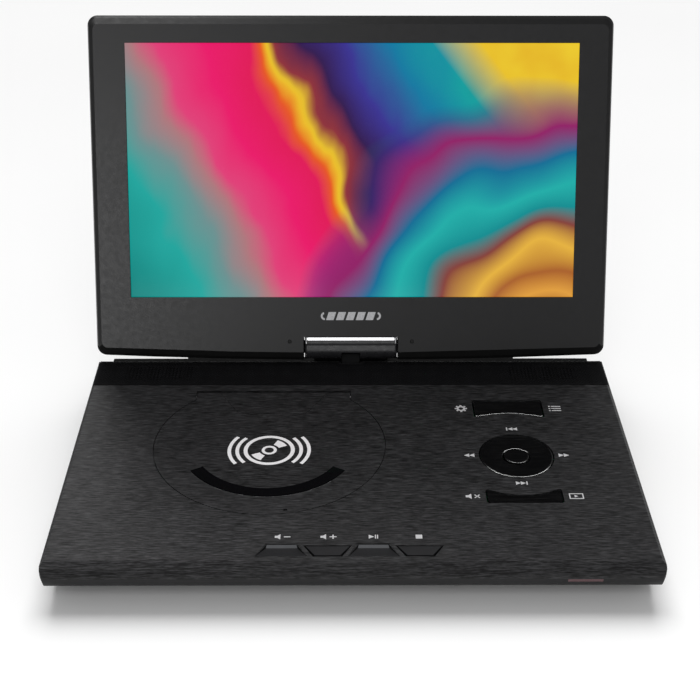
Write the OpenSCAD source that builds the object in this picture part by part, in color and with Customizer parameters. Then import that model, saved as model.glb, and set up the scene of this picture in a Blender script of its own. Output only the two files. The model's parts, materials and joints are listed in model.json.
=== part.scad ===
// Portable disc player with a swivelling 13.3 inch screen.
// Millimetres, +X to the user's right, +Y to the rear, +Z up.
// The origin is on the table, midway along the whole player as it stands open.

/* [Base] */
// Width of the base
base_w = 340.4; // [336:0.2:350]
// Depth of the base, front to rear
base_d = 225; // [222:0.5:235]
// Height of the flat deck above the table
deck_h = 27; // [26:0.5:32]
// Radius of the rolled front edge
front_roll = 8; // [7:0.5:9]
// Radius of the rolled rear edge
rear_roll = 10; // [8:0.5:11]
// Thickness of the moulded walls
wall = 2; // [1.8:0.1:2.2]

/* [Screen] */
// Width of the lid that holds the screen
lid_w = 340.4; // [336:0.2:350]
// Height of the lid above the hinge axis when it stands upright
lid_top = 218.7; // [216:0.1:226]
// Thickness of the lid
lid_t = 15; // [14.8:0.1:15.4]
// Width of the picture
picture_w = 294.5; // [280:0.5:296]
// Height of the picture
picture_h = 165.7; // [158:0.1:166]
// Angle by which the open lid leans back from upright
lean = 20.6; // [10:0.1:30]

/* [Disc bay] */
// Radius of the round door
door_r = 70.8; // [70:0.1:71]
// Distance of the door's centre behind the front edge
door_d = 119; // [118:0.5:121]
// Radius of the disc that the bay takes
disc_r = 60; // [56:1:60]
// Seam between the door and the deck
seam = 0.45; // [0.3:0.05:0.5]

/* [Controls] */
// Distance of the direction pad's centre from the middle of the base
pad_x = 99.8; // [96:0.2:102]
// Distance of the direction pad's centre behind the front edge
pad_d = 106.7; // [105:0.1:108]
// Radius of the direction pad's recess
pad_r = 22.9; // [22:0.1:23]
// Spacing of the four front keys
key_pitch = 25.4; // [25.2:0.1:26]
// Travel of a key
key_travel = 0.8; // [0.4:0.1:0.8]

/* [Hidden] */
$fn = 64;
ROUND = 96;
EPS = 0.01;

// hinge
HINGE_FROM_REAR = 3;
HINGE_OVER_DECK = 8;
FACE_OUT = 7;                       // the screen's face lies this far in front of the hinge axis
BACK_OUT = lid_t - FACE_OUT;
SWIVEL_W = FACE_OUT - lid_t / 2;    // the swivel axis runs up the middle of the lid
LID_LOW = -7.2;
BACK_CHAMFER = 4;
lid_reach = (lid_top - BACK_CHAMFER) * sin(lean) + BACK_OUT * cos(lean);
front_y = -(base_d - HINGE_FROM_REAR + lid_reach) / 2;
axis_y = front_y + base_d - HINGE_FROM_REAR;
axis_z = deck_h + HINGE_OVER_DECK;

// base shell heights
FOOT = 1.5;
SEAM_Z = deck_h - 6;
SIDE_Z = deck_h - 10;               // the sides lean in more below this height
LIP_Z = deck_h - 8.8;               // the front is cut back below this height
GRILLE_D = 187.85;                  // the speaker grille starts this far behind the front edge
GRILLE_LOW = 15;
FLOOR_Z = FOOT + wall;
PLATE_LOW = deck_h - 2.2;           // underside of the deck plate

// disc bay
door_x = -50.4;
DOOR_T = 1.9;
TAB_HALF = 49.6;
TAB_REAR = 178.4;
HINGE_GAP = 2.2;
DOOR_AXIS_D = TAB_REAR - 2.5;
DOOR_AXIS_Z = deck_h - 2;
TRAY_TOP = 18;
DISC_Z = 20;                        // the disc rests on the turntable at this height
WELL_R = disc_r + 5;
WINDOW_IN = 45.5;
WINDOW_OUT = 54;
WINDOW_SWEEP = 59;

// optical drive, which faces +X
ROD_SIDE = 22;
ROD_R = 1.5;
ROD_Z = 11;
SCREW_SIDE = 28;
LENS_START = 40;                    // from the spindle, at rest

// controls
ROCKER_X = 100;
ROCKER_HALF = 22.5;
ROCKER_GAP = 0.9;
ROCKER_LOW = 26.4;                  // lowest point of a rocker's dished face
DISH_R = 400;
CORNER_R = 1.6;
KEY_X = -39.5;
SWITCH_TOP = 20.3;
KEY_LOW = SWITCH_TOP + key_travel + 0.1;    // a key's stem ends here, clear of its switch
LID_SCREWS = [[-150, 12], [150, 12], [-150, 210], [150, 210]];
CASE_SCREWS = [[-156, 33], [156, 33], [-140, 178], [60, 178], [140, 178], [10, 30]];
FEET = [[-145, 42], [145, 42], [-145, 200], [145, 200]];

// ---- places ----

// puts its children at a distance behind the front edge
module at(x = 0, d = 0, z = 0) translate([x, front_y + d, z]) children();

// draws in the lid's own frame: X right, Y up the lid, Z out of the screen, from the hinge axis
module on_lid() translate([0, axis_y, axis_z]) rotate([90 - lean, 0, 0]) children();

// extrudes an outline drawn in Y and Z along X, centred
module along_x(width) rotate([90, 0, 90]) linear_extrude(width, center = true) children();

// extrudes an outline drawn in X and Z along Y, from y = 0
module along_y(depth) translate([0, depth, 0]) rotate([90, 0, 0]) linear_extrude(depth) children();

module pin_x(r, length) rotate([0, 90, 0]) cylinder(r = r, h = length, center = true, $fn = ROUND);

module box(x0, x1, y0, y1, z0, z1) translate([x0, y0, z0]) cube([x1 - x0, y1 - y0, z1 - z0]);

module mirrored() {
    children();
    mirror([1, 0, 0]) children();
}

// ---- base shells ----

// side view of the base, in distance behind the front edge and height, drawn in by t
module base_side(t) {
    front_mid = deck_h - front_roll;
    rear_mid = deck_h - rear_roll;
    translate([front_roll, SIDE_Z]) square([base_d - front_roll - rear_roll, deck_h - SIDE_Z - t]);
    translate([front_roll, front_mid]) circle(front_roll - t, $fn = ROUND);
    translate([base_d - rear_roll, rear_mid]) circle(rear_roll - t, $fn = ROUND);
    polygon([[t, front_mid], [t, LIP_Z + t / 4], [26 + t / 2, FOOT + t], [base_d - 6 - t / 2, FOOT + t],
        [base_d - t, 6 + t / 2], [base_d - t, rear_mid]]);
}

// front view of half the base, drawn in by t
module base_front(t) {
    half = base_w / 2 - t;
    points = [[half - 2, deck_h - t], [half, deck_h - 1.2 - t], [half - 0.2, SEAM_Z],
        [half - 1.5, SIDE_Z], [half - 2, 5 + t / 2], [half - 6, FOOT + t]];
    polygon(concat(points, [for (i = [len(points) - 1:-1:0]) [-points[i].x, points[i].y]]));
}

// plan of the base with small front corners and larger rear ones
module base_plan(t) {
    front_r = 2.5;
    rear_r = 6;
    half = base_w / 2 - t;
    translate([-half, t + front_r]) square([2 * half, base_d - 2 * t - front_r - rear_r]);
    translate([-half + front_r, t]) square([2 * (half - front_r), front_r + EPS]);
    translate([-half + rear_r, base_d - t - rear_r - EPS]) square([2 * (half - rear_r), rear_r + EPS]);
    for (side = [-1, 1]) {
        translate([side * (half - front_r), t + front_r]) circle(front_r);
        translate([side * (half - rear_r), base_d - t - rear_r]) circle(rear_r);
    }
}

module base_solid(t = 0) at() intersection() {
    along_x(base_w + 2) base_side(t);
    translate([0, -1, 0]) along_y(base_d + 2) base_front(t);
    linear_extrude(deck_h + 1) base_plan(t);
}

// plan of the door's outline grown by g, about the door's centre
module door_plan(g, rear) {
    intersection() {
        circle(door_r + g, $fn = 2 * ROUND);
        translate([-100, -100]) square([200, 100 + rear - door_d]);
    }
    translate([-TAB_HALF - g, 0]) square([2 * (TAB_HALF + g), rear - door_d]);
}

module trapezoid(rear_half, front_half, depth) polygon([[-front_half, 0], [front_half, 0],
    [rear_half, depth], [-rear_half, depth]]);

// rounds the outer corners of an outline
module soft_corners(r) offset(r = r, $fn = 24) offset(delta = -r) children();

// outline of the upper rocker grown by g, about the direction pad's centre
module upper_rocker_plan(g) soft_corners(CORNER_R) difference() {
    translate([ROCKER_X - pad_x - ROCKER_HALF - g, 36]) square([2 * (ROCKER_HALF + g), 26.2 + g]);
    circle(46.8 - g, $fn = 2 * ROUND);
}

// outline of the lower rocker grown by g, about the direction pad's centre
module lower_rocker_plan(g) soft_corners(CORNER_R) difference() {
    translate([ROCKER_X - pad_x - ROCKER_HALF - g, -48.1 - g]) square([2 * (ROCKER_HALF + g), 20]);
    translate([ROCKER_X - pad_x - ROCKER_HALF - 2, -34.1 + g]) square([2 * ROCKER_HALF + 4, 10]);
    circle(40.3 - g, $fn = 2 * ROUND);
}

module scoop_key_plan(g) translate([0, 10.8 - g]) trapezoid(8.5 + g, 13.9 + g, 10.2 + 2 * g);
module flat_key_plan(g) translate([0, 11.5 - g]) trapezoid(12.1 + 1.1 * g, 6.9 + 1.1 * g, 7.8 + 1.4 * g);

// a hollow post for a screw that comes up from the underside
module post(z0, z1, r_out, r_in) translate([0, 0, z0]) difference() {
    cylinder(r = r_out, h = z1 - z0);
    translate([0, 0, -EPS]) cylinder(r = r_in, h = z1 - z0 + 2 * EPS);
}

module neck_opening() at(0, 215.5, 14.2) translate([-6.6, 0, 0]) cube([13.2, 15.7, 20]);

// ledge behind the hinge, open underneath, with a raised cover over the neck
module rear_ledge() at(0, base_d, 0) difference() {
    union() {
        along_x(326) polygon([[-0.5, 8], [11, 8], [13, 10], [13, 16.7], [11, 18.7], [0.6, 18.7],
            [0.6, 14.5], [-0.5, 14.5]]);
        along_x(224) polygon([[0.6, 16], [13, 16], [13, 18], [11, 20], [0.6, 20]]);
        along_x(50) polygon([[6.2, 19], [6.2, 26.5], [7.2, 27.5], [11.5, 27.5], [13, 26], [13, 19]]);
    }
    mirrored() {
        box(10, 160, 2.6, 11, 7, 16.9);
        box(10, 23, 8.2, 11, 16.8, 25.5);
    }
}

module port_cuts() at() {
    x0 = base_w / 2 - 6;
    for (d = [112, 126]) translate([x0, d, 13.6]) rotate([0, 90, 0]) cylinder(r = 3.1, h = 8);
    translate([x0, 162, 14.6]) rotate([0, 90, 0]) cylinder(r = 4.1, h = 8);
    box(x0, x0 + 8, 84.3, 97.7, 9.6, 15.6);
    box(x0, x0 + 8, 50.3, 77.7, 9.6, 13.4);
    box(x0, x0 + 8, 139.5, 148.5, 12.2, 15.6);
}

module bottom_case() color([0.10, 0.10, 0.11]) {
    difference() {
        union() {
            difference() {
                base_solid();
                base_solid(wall);
                at(0, -1, SEAM_Z) box(-base_w, base_w, 0, base_d + 2, 0, 10);
                at(0, GRILLE_D, GRILLE_LOW) box(-base_w, base_w, 0, 50, 0, 20);
            }
            rear_ledge();
        }
        port_cuts();
        neck_opening();
        for (p = CASE_SCREWS) at(p.x, p.y, 0) cylinder(r = 3.4, h = 9);
        for (p = FEET) at(p.x, p.y, 0) cylinder(r = 7.1, h = FOOT + 0.6);
        at(126.2, -1, LIP_Z - 0.8) box(-9.65, 9.65, 0, 6, 0, 1.9);
        for (i = [0:6]) at(-85 + 8 * i, 196, 0) box(0, 3, 0, 14, 0, 6);
    }
    for (p = CASE_SCREWS) at(p.x, p.y, 0) {
        post(FOOT, 3.1, 4.6, 3.4);
        post(3.1, 14, 4.6, 1.6);
    }
    for (x = [52, 150], d = [46, 152]) at(x, d, 0) post(FLOOR_Z - EPS, 8, 3, 1);
    for (x = [-28, 28], d = [200, 213]) at(x, d, 0) post(FLOOR_Z - EPS, 12.5, 3, 1.52);
    for (x = [-20, 80], y = [-30, 30]) at(door_x + x, door_d + y, 0) post(FLOOR_Z - EPS, 4.6, 3.4, 1);
}

module deck_cover() color([0.16, 0.16, 0.17]) {
    difference() {
        base_solid();
        base_solid(wall);
        at(0, -1, -1) box(-base_w, base_w, 0, base_d + 2, 0, SEAM_Z + 1);
        at(0, GRILLE_D, 0) box(-base_w, base_w, 0, 50, 0, 40);
        deck_openings();
        at(0, 0, deck_h - 0.25) linear_extrude(1) key_row_groove();
    }
    at(0, 0, PLATE_LOW) difference() {
        linear_extrude(0.3) translate([-base_w / 2 + 4, 10]) square([base_w - 8, GRILLE_D - 10.4]);
        translate([0, -front_y, -PLATE_LOW]) deck_openings();
    }
    for (p = CASE_SCREWS) at(p.x, p.y, 0) post(14.05, PLATE_LOW + EPS, 3, 1.27);
    for (side = [-1, 1]) at(door_x + side * (TAB_HALF + seam + 3), DOOR_AXIS_D, 0) difference() {
        box(-3, 3, -3, 3, DOOR_AXIS_Z - 2.4, PLATE_LOW + EPS);
        translate([0, 0, DOOR_AXIS_Z]) pin_x(1, 20);
    }
}

module deck_openings() {
    low = SEAM_Z - 6;
    tall = 20;
    at(door_x, door_d, low) linear_extrude(tall) door_plan(seam, TAB_REAR + HINGE_GAP);
    at(pad_x, pad_d, low) cylinder(r = pad_r, h = tall, $fn = ROUND);
    at(pad_x, pad_d, low) linear_extrude(tall) upper_rocker_plan(0);
    at(pad_x, pad_d, low) linear_extrude(tall) lower_rocker_plan(0);
    for (i = [0, 2]) at(KEY_X + i * key_pitch, 0, low) linear_extrude(tall) scoop_key_plan(0);
    for (i = [1, 3]) at(KEY_X + i * key_pitch, 0, low) linear_extrude(tall) flat_key_plan(1);
    for (side = [-1, 1]) at(door_x + side * (TAB_HALF + 2), DOOR_AXIS_D, DOOR_AXIS_Z) pin_x(1, 9);
}

// the fine groove that frames each key
module key_row_groove() {
    for (i = [0:3]) translate([KEY_X + i * key_pitch, 0]) difference() {
        if (i % 2 == 0) scoop_key_plan(0.5); else flat_key_plan(1.5);
        if (i % 2 == 0) scoop_key_plan(-0.5); else flat_key_plan(0.5);
    }
}

module speaker_grille() color([0.07, 0.07, 0.08]) difference() {
    base_solid();
    base_solid(wall);
    at(0, -1, 0) box(-base_w, base_w, 0, GRILLE_D + 1, 0, 40);
    at(0, 0, 0) box(-base_w, base_w, 0, base_d + 2, 0, GRILLE_LOW);
    neck_opening();
    for (side = [-1, 1], i = [-9:9]) at(side * 128 + 2.4 * i, 0, 20) box(-0.5, 0.5, 194, 211, 0, 10);
}

module rubber_feet() color([0.05, 0.05, 0.05]) for (p = FEET) at(p.x, p.y, 0)
    rotate_extrude() polygon([[0, 0], [6, 0], [7, 1], [7, FOOT + 0.6], [0, FOOT + 0.6]]);

module screw(head_r, head_h, r, length) {
    difference() {
        cylinder(r = head_r, h = head_h);
        translate([0, 0, -EPS]) linear_extrude(0.8 + EPS) {
            square([0.7, 2.6], center = true);
            square([2.6, 0.7], center = true);
        }
    }
    translate([0, 0, head_h]) cylinder(r = r, h = length);
}

module case_screws() color([0.3, 0.3, 0.32]) for (p = CASE_SCREWS) at(p.x, p.y, 0)
    translate([0, 0, 1.5]) screw(2.6, 1.6, 1.25, 18);

module infrared_window() color([0.25, 0.08, 0.09]) at(126.2, 0, LIP_Z - 0.8)
    intersection() {
        box(-9.6, 9.6, 0.05, 3.2, 0.02, 1.88);
        translate([0, -front_y, -LIP_Z + 0.8]) base_solid(0.02);
    }

module battery_pack() color([0.16, 0.30, 0.52]) at() box(-160, -127, 47, 167, 4, 16);

module main_board() color([0.06, 0.32, 0.18]) at() difference() {
    box(46, 153.5, 40, 168, 8, 9.6);
    for (x = [52, 150], d = [46, 152]) translate([x, d, 7]) cylinder(r = 1.1, h = 4);
}

module board_chips() color([0.10, 0.10, 0.11]) at() {
    box(84, 108, 88, 112, 9.6, 11.4);
    box(70, 80, 92, 108, 9.6, 10.8);
    box(114, 126, 60, 70, 9.6, 12);
    for (i = [0:3]) translate([64 + 11 * i, 134, 9.6]) cylinder(r = 3.2, h = 7, $fn = 32);
    box(60, 76, 50, 66, 9.6, 14);
}

module side_key_board() color([0.10, 0.34, 0.20]) at() box(72, 128, 54, 174, 16.8, 18);
module front_key_board() color([0.10, 0.34, 0.20]) at() box(-60, 60, 10, 21, 16.6, 17.8);

module tact_switch(z0, z1) {
    translate([-2, -2, z0]) cube([4, 4, 1.2]);
    translate([0, 0, z0]) cylinder(r = 1.1, h = z1 - z0, $fn = 24);
}

module tact_switches() color([0.75, 0.75, 0.72]) {
    for (i = [0:3]) at(KEY_X + i * key_pitch, 15.5, 0) tact_switch(17.8, SWITCH_TOP);
    for (a = [0:90:270]) at(pad_x + 18 * cos(a), pad_d + 18 * sin(a), 0) tact_switch(18, 20.9);
    at(pad_x, pad_d, 0) tact_switch(18, 20.4);
    for (side = [-1, 1], d = [51.5, -41]) at(ROCKER_X + side * 16, pad_d + d, 0) tact_switch(18, 21);
}

// ---- disc bay and optical drive ----

module disc_tray() color([0.12, 0.12, 0.13]) at(door_x, door_d, 0) difference() {
    rotate_extrude($fn = 2 * ROUND) polygon([[0, TRAY_TOP - 1.6], [WELL_R + 2, TRAY_TOP - 1.6],
        [WELL_R + 2, PLATE_LOW - 1.8], [door_r + 2.7, PLATE_LOW - 1.8], [door_r + 2.7, PLATE_LOW - 0.02],
        [WELL_R, PLATE_LOW - 0.02], [WELL_R, TRAY_TOP], [0, TRAY_TOP]]);
    translate([0, 0, TRAY_TOP - 3]) cylinder(r = 16.5, h = 5);
    box(14, 64, -13, 13, TRAY_TOP - 3, TRAY_TOP + 1);
    box(-62, 62, 51.5, 75, PLATE_LOW - 3.4, PLATE_LOW + 1);
    translate([11.8, -68.6, 0]) box(-3.4, 3.4, -1.6, 1.6, PLATE_LOW - 3, PLATE_LOW + 1);
}

module drive_chassis() color([0.62, 0.63, 0.65]) at(door_x, door_d, 0) difference() {
    union() {
        box(-24, 95, -34, 33, 4.6, 5.8);
        for (side = [-1, 1]) {
            box(9, 12.4, side * ROD_SIDE - 3, side * ROD_SIDE + 3, 5.8 - EPS, 14);
            box(77.6, 81, side * ROD_SIDE - 3, side * ROD_SIDE + 3, 5.8 - EPS, 14);
        }
        box(9, 12.4, -SCREW_SIDE - 3, -ROD_SIDE, 5.8 - EPS, 13.4);
        box(80.2, 81.7, -SCREW_SIDE - 5.5, -ROD_SIDE - 3 + EPS, 5.8 - EPS, 15);
    }
    for (side = [-1, 1]) translate([45, side * ROD_SIDE, ROD_Z]) pin_x(ROD_R + 0.02, 80);
    translate([11, -SCREW_SIDE, ROD_Z]) pin_x(1.06, 6);
    translate([81, -SCREW_SIDE, ROD_Z]) pin_x(1.4, 4);
    for (x = [-20, 80], y = [-30, 30]) translate([x, y, 4]) cylinder(r = 1.2, h = 3);
}

module spindle_motor() color([0.70, 0.71, 0.73]) at(door_x, door_d, 5.8) difference() {
    union() {
        cylinder(r = 13, h = 0.8);
        cylinder(r = 11.5, h = 9.4);
    }
    translate([0, 0, 2]) cylinder(r = 1.06, h = 9);
}

module turntable() color([0.20, 0.20, 0.21]) at(door_x, door_d, 0) {
    rotate_extrude($fn = ROUND) polygon([[0, 9], [1, 9], [1, 16.2], [14.6, 16.2], [15, 16.6], [15, DISC_Z],
        [7.45, DISC_Z], [7.45, 21.6], [6.2, 23], [2, 23.4], [0, 23.4]]);
    for (a = [30:120:270]) rotate(a) translate([6.1, 0, 22.1]) sphere(r = 0.95, $fn = 32);
}

module laser_sled() color([0.16, 0.16, 0.18]) at(door_x + LENS_START, door_d, 0) difference() {
    union() {
        box(-6, 16, -26, 26, 7.4, 15.4);
        box(-5.5, 5, -11, 11, 15.4 - EPS, 17.6);
        box(-4, 4, -31.5, -26 + EPS, 8.4, 13.6);
    }
    for (side = [-1, 1]) translate([0, side * ROD_SIDE, ROD_Z]) pin_x(ROD_R + 0.05, 60);
    translate([0, -SCREW_SIDE, ROD_Z]) pin_x(1.3, 60);
    translate([0, 0, 13]) cylinder(r = 3.02, h = 6);
}

module pickup_lens() color([0.45, 0.50, 0.75]) at(door_x + LENS_START, door_d, 0)
    rotate_extrude() polygon([[0, 13], [3, 13], [3, 17.6], [2.4, 18.2], [0, 18.7]]);

module guide_rods() color([0.80, 0.80, 0.82]) for (side = [-1, 1])
    at(door_x + 45, door_d + side * ROD_SIDE, ROD_Z) pin_x(ROD_R, 71);

module lead_screw() color([0.72, 0.66, 0.45]) at(door_x, door_d - SCREW_SIDE, ROD_Z) {
    translate([46.5, 0, 0]) pin_x(1, 73);
    for (i = [0:29]) translate([15.5 + 2 * i, 0, 0]) pin_x(1.2, 0.9);
}

module sled_motor() color([0.66, 0.67, 0.70]) at(door_x, door_d - SCREW_SIDE, ROD_Z) difference() {
    translate([87.5, 0, 0]) pin_x(5, 11.6);
    translate([82, 0, 0]) pin_x(1.05, 5);
}

module disc_door() color([0.16, 0.16, 0.17]) at(door_x, door_d, 0) {
    difference() {
        translate([0, 0, deck_h - DOOR_T]) linear_extrude(DOOR_T) door_plan(0, TAB_REAR);
        translate([0, 0, deck_h - 3]) linear_extrude(5) window_plan(0);
        translate([0, 0, deck_h - 0.3]) linear_extrude(1) trapezoid_groove();
        translate([11.8, -66.6, deck_h - 0.9]) cylinder(r = 1.3, h = 2, $fn = 32);
        translate([0, DOOR_AXIS_D - door_d, DOOR_AXIS_Z]) pin_x(0.97, 120);
    }
    translate([0, 0, deck_h - DOOR_T - 0.8]) difference() {
        cylinder(r = 63.6, h = 0.8 + EPS, $fn = 2 * ROUND);
        translate([0, 0, -1]) cylinder(r = 62, h = 3, $fn = 2 * ROUND);
        box(-70, 70, 48, 70, -1, 2);
    }
    for (side = [-1, 1]) translate([side * (TAB_HALF - 3), DOOR_AXIS_D - door_d, 0]) difference() {
        translate([-3, 0, 0]) union() {
            translate([3, 0, DOOR_AXIS_Z]) pin_x(1.85, 6);
            box(0, 6, -1.85, 1.85, DOOR_AXIS_Z, deck_h - DOOR_T + EPS);
        }
        translate([side * 3, 0, DOOR_AXIS_Z]) pin_x(0.97, 9.4);
    }
}

// a band of a ring that faces the front
module window_plan(g) intersection() {
    difference() {
        circle(WINDOW_OUT + g, $fn = 2 * ROUND);
        circle(WINDOW_IN - g, $fn = 2 * ROUND);
    }
    polygon([[0, 0], [-80 * sin(WINDOW_SWEEP), -80 * cos(WINDOW_SWEEP)], [-80, -80], [0, -110], [80, -80],
        [80 * sin(WINDOW_SWEEP), -80 * cos(WINDOW_SWEEP)]]);
}

// the three fine lines that mark where the door is hinged
module trapezoid_groove() translate([0.2, 34.2]) difference() {
    trapezoid(34.3, 21.6, 23);
    translate([0, 0.5]) trapezoid(33.9, 21.1, 23);
}

module door_window() color([0.03, 0.03, 0.03]) at(door_x, door_d, deck_h - DOOR_T)
    linear_extrude(DOOR_T - 0.05) window_plan(-0.02);

module door_pins() color([0.75, 0.75, 0.77]) for (side = [-1, 1])
    at(door_x + side * (TAB_HALF + 0.2), DOOR_AXIS_D, DOOR_AXIS_Z) pin_x(0.95, 8);

module door_hook() color([0.16, 0.16, 0.17]) at(door_x + 11.8, door_d - 68.6, 0)
    along_x(4) polygon([[-0.8, deck_h - DOOR_T], [-0.8, 20], [1.0, 20], [0.4, 21.2], [0.4, deck_h - DOOR_T]]);

module door_catch() color([0.80, 0.78, 0.70]) at(door_x + 11.8, door_d - 68.6, 0)
    along_x(6) polygon([[-7, 16], [-1.3, 16], [-1.3, 21.8], [-2.6, 22.6], [-4, 22.6], [-4, 19], [-7, 19]]);

// ---- controls ----

module direction_pivot() color([0.25, 0.25, 0.26]) at(pad_x, pad_d, 0) rotate_extrude($fn = ROUND)
    polygon([[9.2, 21.2], [13, 21.2], [13, 22.6], [9.2, 22.6]]);

module direction_pad() color([0.02, 0.02, 0.02]) at(pad_x, pad_d, 0) rotate_extrude($fn = 2 * ROUND)
    polygon([[8.2, 23.5], [pad_r - 0.5, 23.5], [pad_r - 0.5, 26.4], [pad_r - 1.4, 27],
        [pad_r - 2.4, 26.8], [14, 26.1], [9, 26.2], [8.2, 25.8]]);

module ok_button() color([0.02, 0.02, 0.02]) at(pad_x, pad_d, 0) rotate_extrude($fn = ROUND)
    polygon([[0, 21.3], [7.6, 21.3], [7.6, 26.3], [7.1, 26.8], [4, 26.6], [0, 26.5]]);

module setup_menu_rocker() color([0.02, 0.02, 0.02]) at(pad_x, pad_d, 0) difference() {
    translate([0, 0, 23.6]) linear_extrude(3.4) upper_rocker_plan(-ROCKER_GAP);
    translate([ROCKER_X - pad_x, 63, ROCKER_LOW + DISH_R]) rotate([90, 0, 0])
        cylinder(r = DISH_R, h = 30, $fn = 720);
}

module mute_mode_rocker() color([0.02, 0.02, 0.02]) at(pad_x, pad_d, 0) difference() {
    translate([0, 0, 23.6]) linear_extrude(3.4) lower_rocker_plan(-ROCKER_GAP);
    translate([ROCKER_X - pad_x, -25, ROCKER_LOW + DISH_R]) rotate([90, 0, 0])
        cylinder(r = DISH_R, h = 30, $fn = 720);
}

// a key whose face slopes down to the rear and ends in a short rise, with its stem
module scoop_key() difference() {
    union() {
        translate([0, 0, KEY_LOW + 0.4]) linear_extrude(6) scoop_key_plan(-0.35);
        translate([0, 15.5, KEY_LOW]) cylinder(r = 1.5, h = 1, $fn = 32);
    }
    along_x(40) polygon([[8, deck_h - 0.1], [11, deck_h - 0.2], [19.5, deck_h - 1.7], [20.5, deck_h - 0.15],
        [24, deck_h - 0.15], [24, 40], [8, 40]]);
}

// a key with a flat face, with its stem
module flat_key() {
    translate([0, 0, KEY_LOW + 0.4]) linear_extrude(deck_h - 0.55 - KEY_LOW) flat_key_plan(0);
    translate([0, 15.5, KEY_LOW]) cylinder(r = 1.5, h = 1, $fn = 32);
}

module key_volume_down() color([0.10, 0.10, 0.11]) at(KEY_X, 0, 0) scoop_key();
module key_volume_up() color([0.13, 0.13, 0.14]) at(KEY_X + key_pitch, 0, 0) flat_key();
module key_play() color([0.10, 0.10, 0.11]) at(KEY_X + 2 * key_pitch, 0, 0) scoop_key();
module key_stop() color([0.13, 0.13, 0.14]) at(KEY_X + 3 * key_pitch, 0, 0) flat_key();

// ---- sound, ports and power ----

module speaker() {
    difference() {
        union() {
            hull() for (x = [-16, 16]) translate([x, 0, 20]) cylinder(r = 10.5, h = 1.6, $fn = 32);
            translate([0, 0, 14]) cylinder(r = 9, h = 7);
        }
        hull() for (x = [-13, 13]) translate([x, 0, 20.6]) cylinder(r = 7.5, h = 3, $fn = 32);
    }
    translate([0, 0, 19]) cylinder(r = 4, h = 3.2);
}

module speaker_left() color([0.13, 0.13, 0.14]) at(-128, 205, 0) speaker();
module speaker_right() color([0.13, 0.13, 0.14]) at(128, 205, 0) speaker();

module audio_jack(d) at(0, d, 13.6) difference() {
    union() {
        box(154, 165.8, -5, 5, -4, 3.6);
        translate([166.4, 0, 0]) pin_x(3, 3.6);
    }
    translate([160, 0, 0]) pin_x(1.8, 20);
}

module headphone_jack() color([0.10, 0.10, 0.10]) audio_jack(126);
module av_jack() color([0.80, 0.65, 0.12]) audio_jack(112);

module usb_port() color([0.72, 0.72, 0.74]) at(0, 91, 0) {
    difference() {
        box(154, 168.2, -6.6, 6.6, 9.7, 15.5);
        box(155, 170, -6.2, 6.2, 10.1, 15.1);
    }
    box(154.5, 166.5, -5.4, 5.4, 13.4, 15.1 + EPS);
}

module card_slot() color([0.70, 0.70, 0.72]) at(0, 64, 0) difference() {
    box(141, 168.2, -13.6, 13.6, 9.7, 13.3);
    box(142.5, 170, -12.2, 12.2, 10.3, 12.7);
}

module dc_inlet() color([0.08, 0.08, 0.08]) at(0, 162, 14.6) {
    difference() {
        union() {
            box(154, 165.8, -5, 5, -5, 4);
            translate([166.4, 0, 0]) pin_x(4, 3.6);
        }
        translate([163.2, 0, 0]) pin_x(2.8, 12);
    }
    translate([162, 0, 0]) pin_x(0.65, 10);
}

module power_switch_body() color([0.16, 0.16, 0.17]) at(0, 144, 0) difference() {
    box(158, 165.6, -6, 6, 9.6, 17);
    box(162, 170, -4.6, 4.6, 12.1, 15.7);
}

module power_switch_knob() color([0.55, 0.56, 0.58]) at(0, 144, 0) {
    box(162.3, 169.4, -4.1, -0.1, 12.5, 15.3);
    for (y = [-3.4, -2.1, -0.8]) box(169.4 - EPS, 169.8, y - 0.3, y + 0.3, 12.7, 15.1);
}

// ---- hinge ----

ARM_ANGLE = 40;
ARM_HALF = 2;
POST_LOW = 4.6;
BLOCK_TOP = 6.58;

// cast neck that carries the hinge from the rear of the base
module hinge_neck() color([0.20, 0.20, 0.21]) translate([0, axis_y, axis_z]) difference() {
    union() {
        pin_x(4, 12);
        along_x(12) {
            rotate(-ARM_ANGLE) translate([0, -ARM_HALF]) square([9, 2 * ARM_HALF]);
            polygon([[4.6, -7.0], [8.2, -4.2], [8.6, -7], [4.6, -17], [-3, -20.5], [-10, -20.5], [-10, -17.4],
                [-2, -17.4], [0.6, -14.6]]);
        }
        box(-34, 34, -26, -4, -22.5, -20);
    }
    pin_x(2.55, 20);
    for (x = [-28, 28], y = [-22, -9]) translate([x, y, -24]) cylinder(r = 1.7, h = 6);
}

module neck_screws() color([0.6, 0.6, 0.62]) for (x = [-28, 28], y = [-22, -9])
    translate([x, axis_y + y, 18.5]) rotate([180, 0, 0]) screw(2.6, 3.5, 1.5, 8);

// block that tilts with the lid and carries the swivel post
module hinge_block() color([0.05, 0.05, 0.05]) on_lid() difference() {
    union() {
        pin_x(6.8, 59.2);
        box(-29.6, 29.6, 0, 3.2, -6.8, 6.8);
        box(-29.6, 29.6, 0, BLOCK_TOP, -5.4, 5.4);
    }
    box(-30, 30, BLOCK_TOP, 8, -8, 8);
    pin_x(2.52, 52);
    pin_x(4.4, 15);
    along_x(12.6) arm_slot();
    translate([0, POST_LOW - 0.1, SWIVEL_W]) rotate([-90, 0, 0]) cylinder(r = 4.02, h = 8, $fn = ROUND);
}

// the wedge that the neck's arm sweeps through the block as it tilts, in the lid's Y and Z
module arm_slot() {
    low = ARM_ANGLE - (90 + lean) - 20 - 32;
    high = ARM_ANGLE + 32;
    polygon(concat([[0, 0]], [for (i = [0:12]) let (a = low + (high - low) * i / 12)
        [-14 * cos(a), 14 * sin(a)]]));
}

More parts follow.
